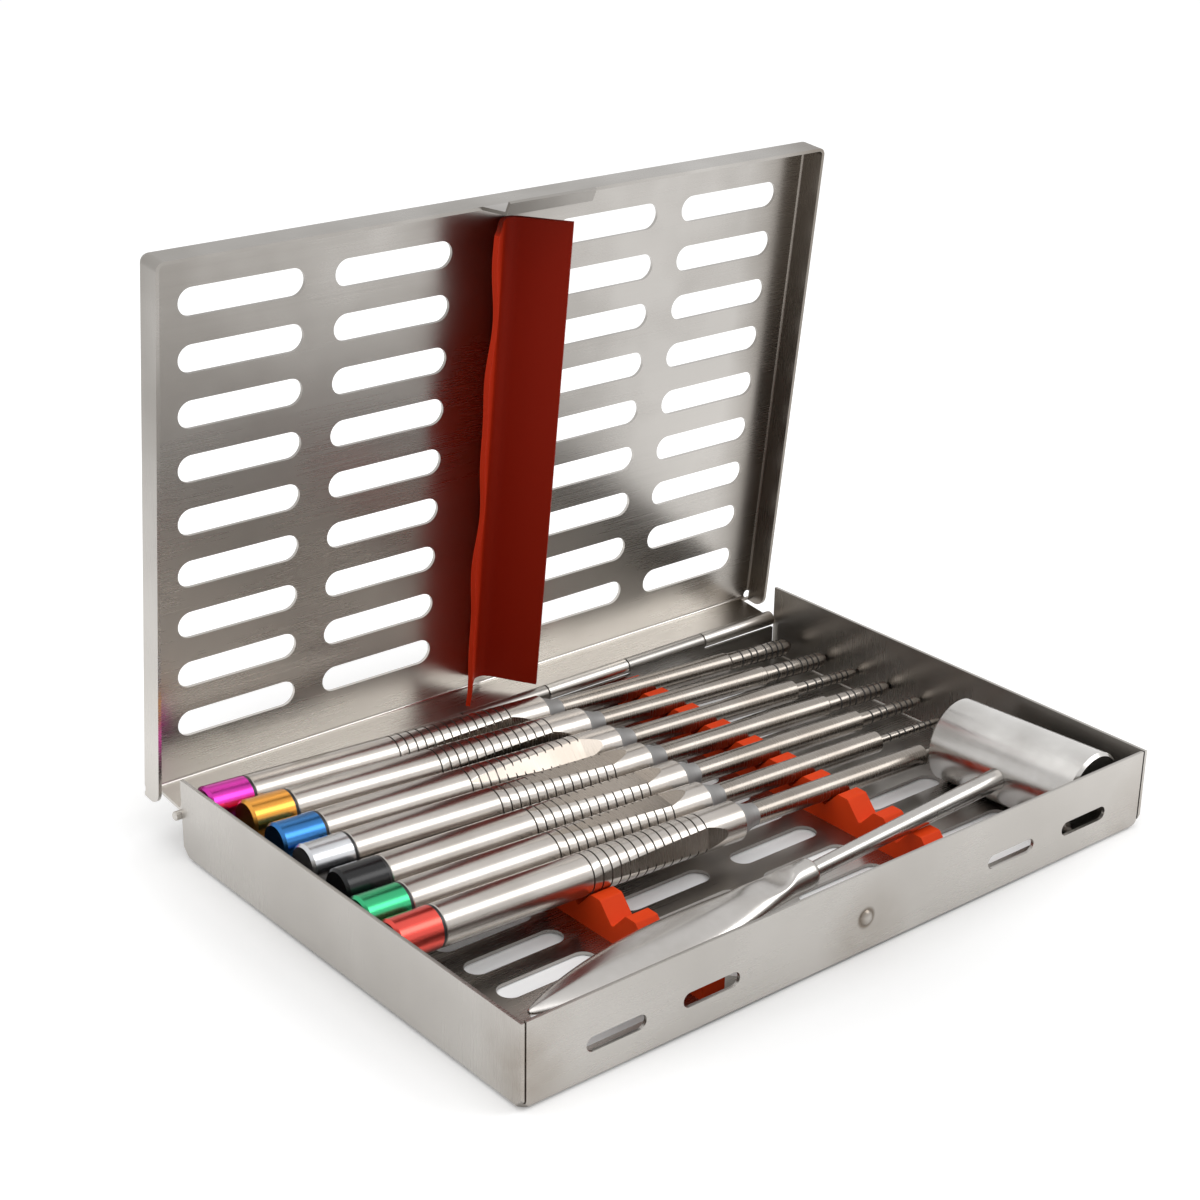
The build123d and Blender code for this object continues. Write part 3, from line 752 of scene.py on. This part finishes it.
grip_steel, grip_tree, grip_shader = new_material("grip_satin_steel", 1.0, 0.25)
grip_place = grip_tree.nodes.new("ShaderNodeTexCoord").outputs["Object"]
grip_cloud = add_noise(grip_tree, grip_place, 45.0, 4.0, 0.6)
grip_tone = add_range(grip_tree, grip_cloud, 0.35, 0.65, 0.0, 1.0)
grip_colour = add_tint(grip_tree, grip_tone, (0.52, 0.50, 0.48), (0.43, 0.41, 0.385))
grip_tree.links.new(grip_colour, grip_shader.inputs["Base Color"])
grip_tree.links.new(add_range(grip_tree, grip_cloud, 0.3, 0.7, 0.2, 0.3), grip_shader.inputs["Roughness"])
add_bump(grip_tree, grip_shader, grip_cloud, strength=0.1, distance=0.05 * mm)

head_middle = box_middle("mallet_head")
grip_along = (end_middle("mallet_handle", -1) - head_middle).normalized()
grip_level = Vector((0, 0, 1)).cross(grip_along).normalized()
grip_up = grip_along.cross(grip_level)
# Distance from the head's axis, half width, half thickness, height of the scalloped cuts
grip_stations = [
    (4.05, 2.75, 2.75, 9.0), (11.5, 2.8, 2.8, 9.0), (40.0, 2.55, 2.55, 9.0), (83.3, 2.1, 2.1, 9.0),
    (84.0, 2.25, 2.25, 9.0), (84.5, 2.9, 2.9, 9.0), (84.9, 3.4, 3.4, 9.0), (85.6, 3.78, 3.78, 9.0),
    (86.6, 3.9, 3.9, 9.0), (89.0, 3.9, 3.9, 6.0), (91.0, 3.9, 3.9, 4.2), (92.6, 3.95, 3.9, 3.4),
    (94.2, 4.1, 3.85, 2.75), (96.0, 4.35, 3.75, 2.3), (98.5, 4.7, 3.6, 2.1), (101.5, 5.15, 3.45, 2.25),
    (105.5, 5.75, 3.35, 2.7), (110.0, 6.35, 3.3, 3.3), (116.0, 7.15, 3.3, 3.9), (123.0, 7.85, 3.3, 4.0),
    (130.0, 8.2, 3.3, 4.0), (137.0, 8.25, 3.25, 4.0), (144.0, 7.9, 3.15, 4.0), (151.0, 7.15, 2.95, 4.0),
    (158.0, 6.1, 2.65, 4.0), (164.0, 4.85, 2.2, 4.0), (169.0, 3.5, 1.7, 4.0), (173.0, 2.1, 1.2, 4.0),
    (175.3, 1.1, 0.8, 4.0), (175.95, 0.5, 0.45, 4.0),
]
rows_between = 4
grip_steps = 96
# From its start, the round section sharpens into a lens over this run
lens_start, lens_run = 96.0, 14.0
lens_sharpness = 0.35
scallop_power = 14


def smooth_between(rows, steps):
    """Rows with more rows between each pair, on a smooth curve through them."""
    filled = []
    for index in range(len(rows) - 1):
        before, start = rows[max(index - 1, 0)], rows[index]
        end, after = rows[index + 1], rows[min(index + 2, len(rows) - 1)]
        for step in range(steps):
            share = step / steps
            run = end[0] - start[0]
            row = [start[0] + run * share]
            for column in range(1, len(start)):
                slope_in = (end[column] - before[column]) / (end[0] - before[0]) * run
                slope_out = (after[column] - start[column]) / (after[0] - start[0]) * run
                row.append(
                    start[column] * (2 * share**3 - 3 * share**2 + 1)
                    + slope_in * (share**3 - 2 * share**2 + share)
                    + end[column] * (3 * share**2 - 2 * share**3)
                    + slope_out * (share**3 - share**2)
                )
            filled.append(row)
    filled.append(list(rows[-1]))
    return filled


grip_shape = bmesh.new()
grip_rings = []
for distance, width, thickness, cut in smooth_between(grip_stations, rows_between):
    ring = []
    lens_share = min(max((distance - lens_start) / lens_run, 0.0), 1.0)
    power = 2.0 - lens_sharpness * lens_share
    for step in range(grip_steps):
        angle = 2 * math.pi * step / grip_steps
        cosine, sine = abs(math.cos(angle)), abs(math.sin(angle))
        reach = ((cosine / width) ** power + (sine / thickness) ** power) ** (-1 / power)
        reach = (reach**-scallop_power + (sine / cut) ** scallop_power) ** (-1 / scallop_power)
        direction = grip_level * math.cos(angle) + grip_up * math.sin(angle)
        ring.append(grip_shape.verts.new(head_middle + grip_along * distance * mm + direction * reach * mm))
    grip_rings.append(ring)
join_rings(grip_shape, grip_rings)
grip_shape.faces.new(grip_rings[0])
grip_shape.faces.new(grip_rings[-1])
bmesh.ops.recalc_face_normals(grip_shape, faces=grip_shape.faces)
grip = new_piece("mallet_leaf_grip", grip_shape, "mallet", "mallet_steel", grip_steel)
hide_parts("mallet_handle")
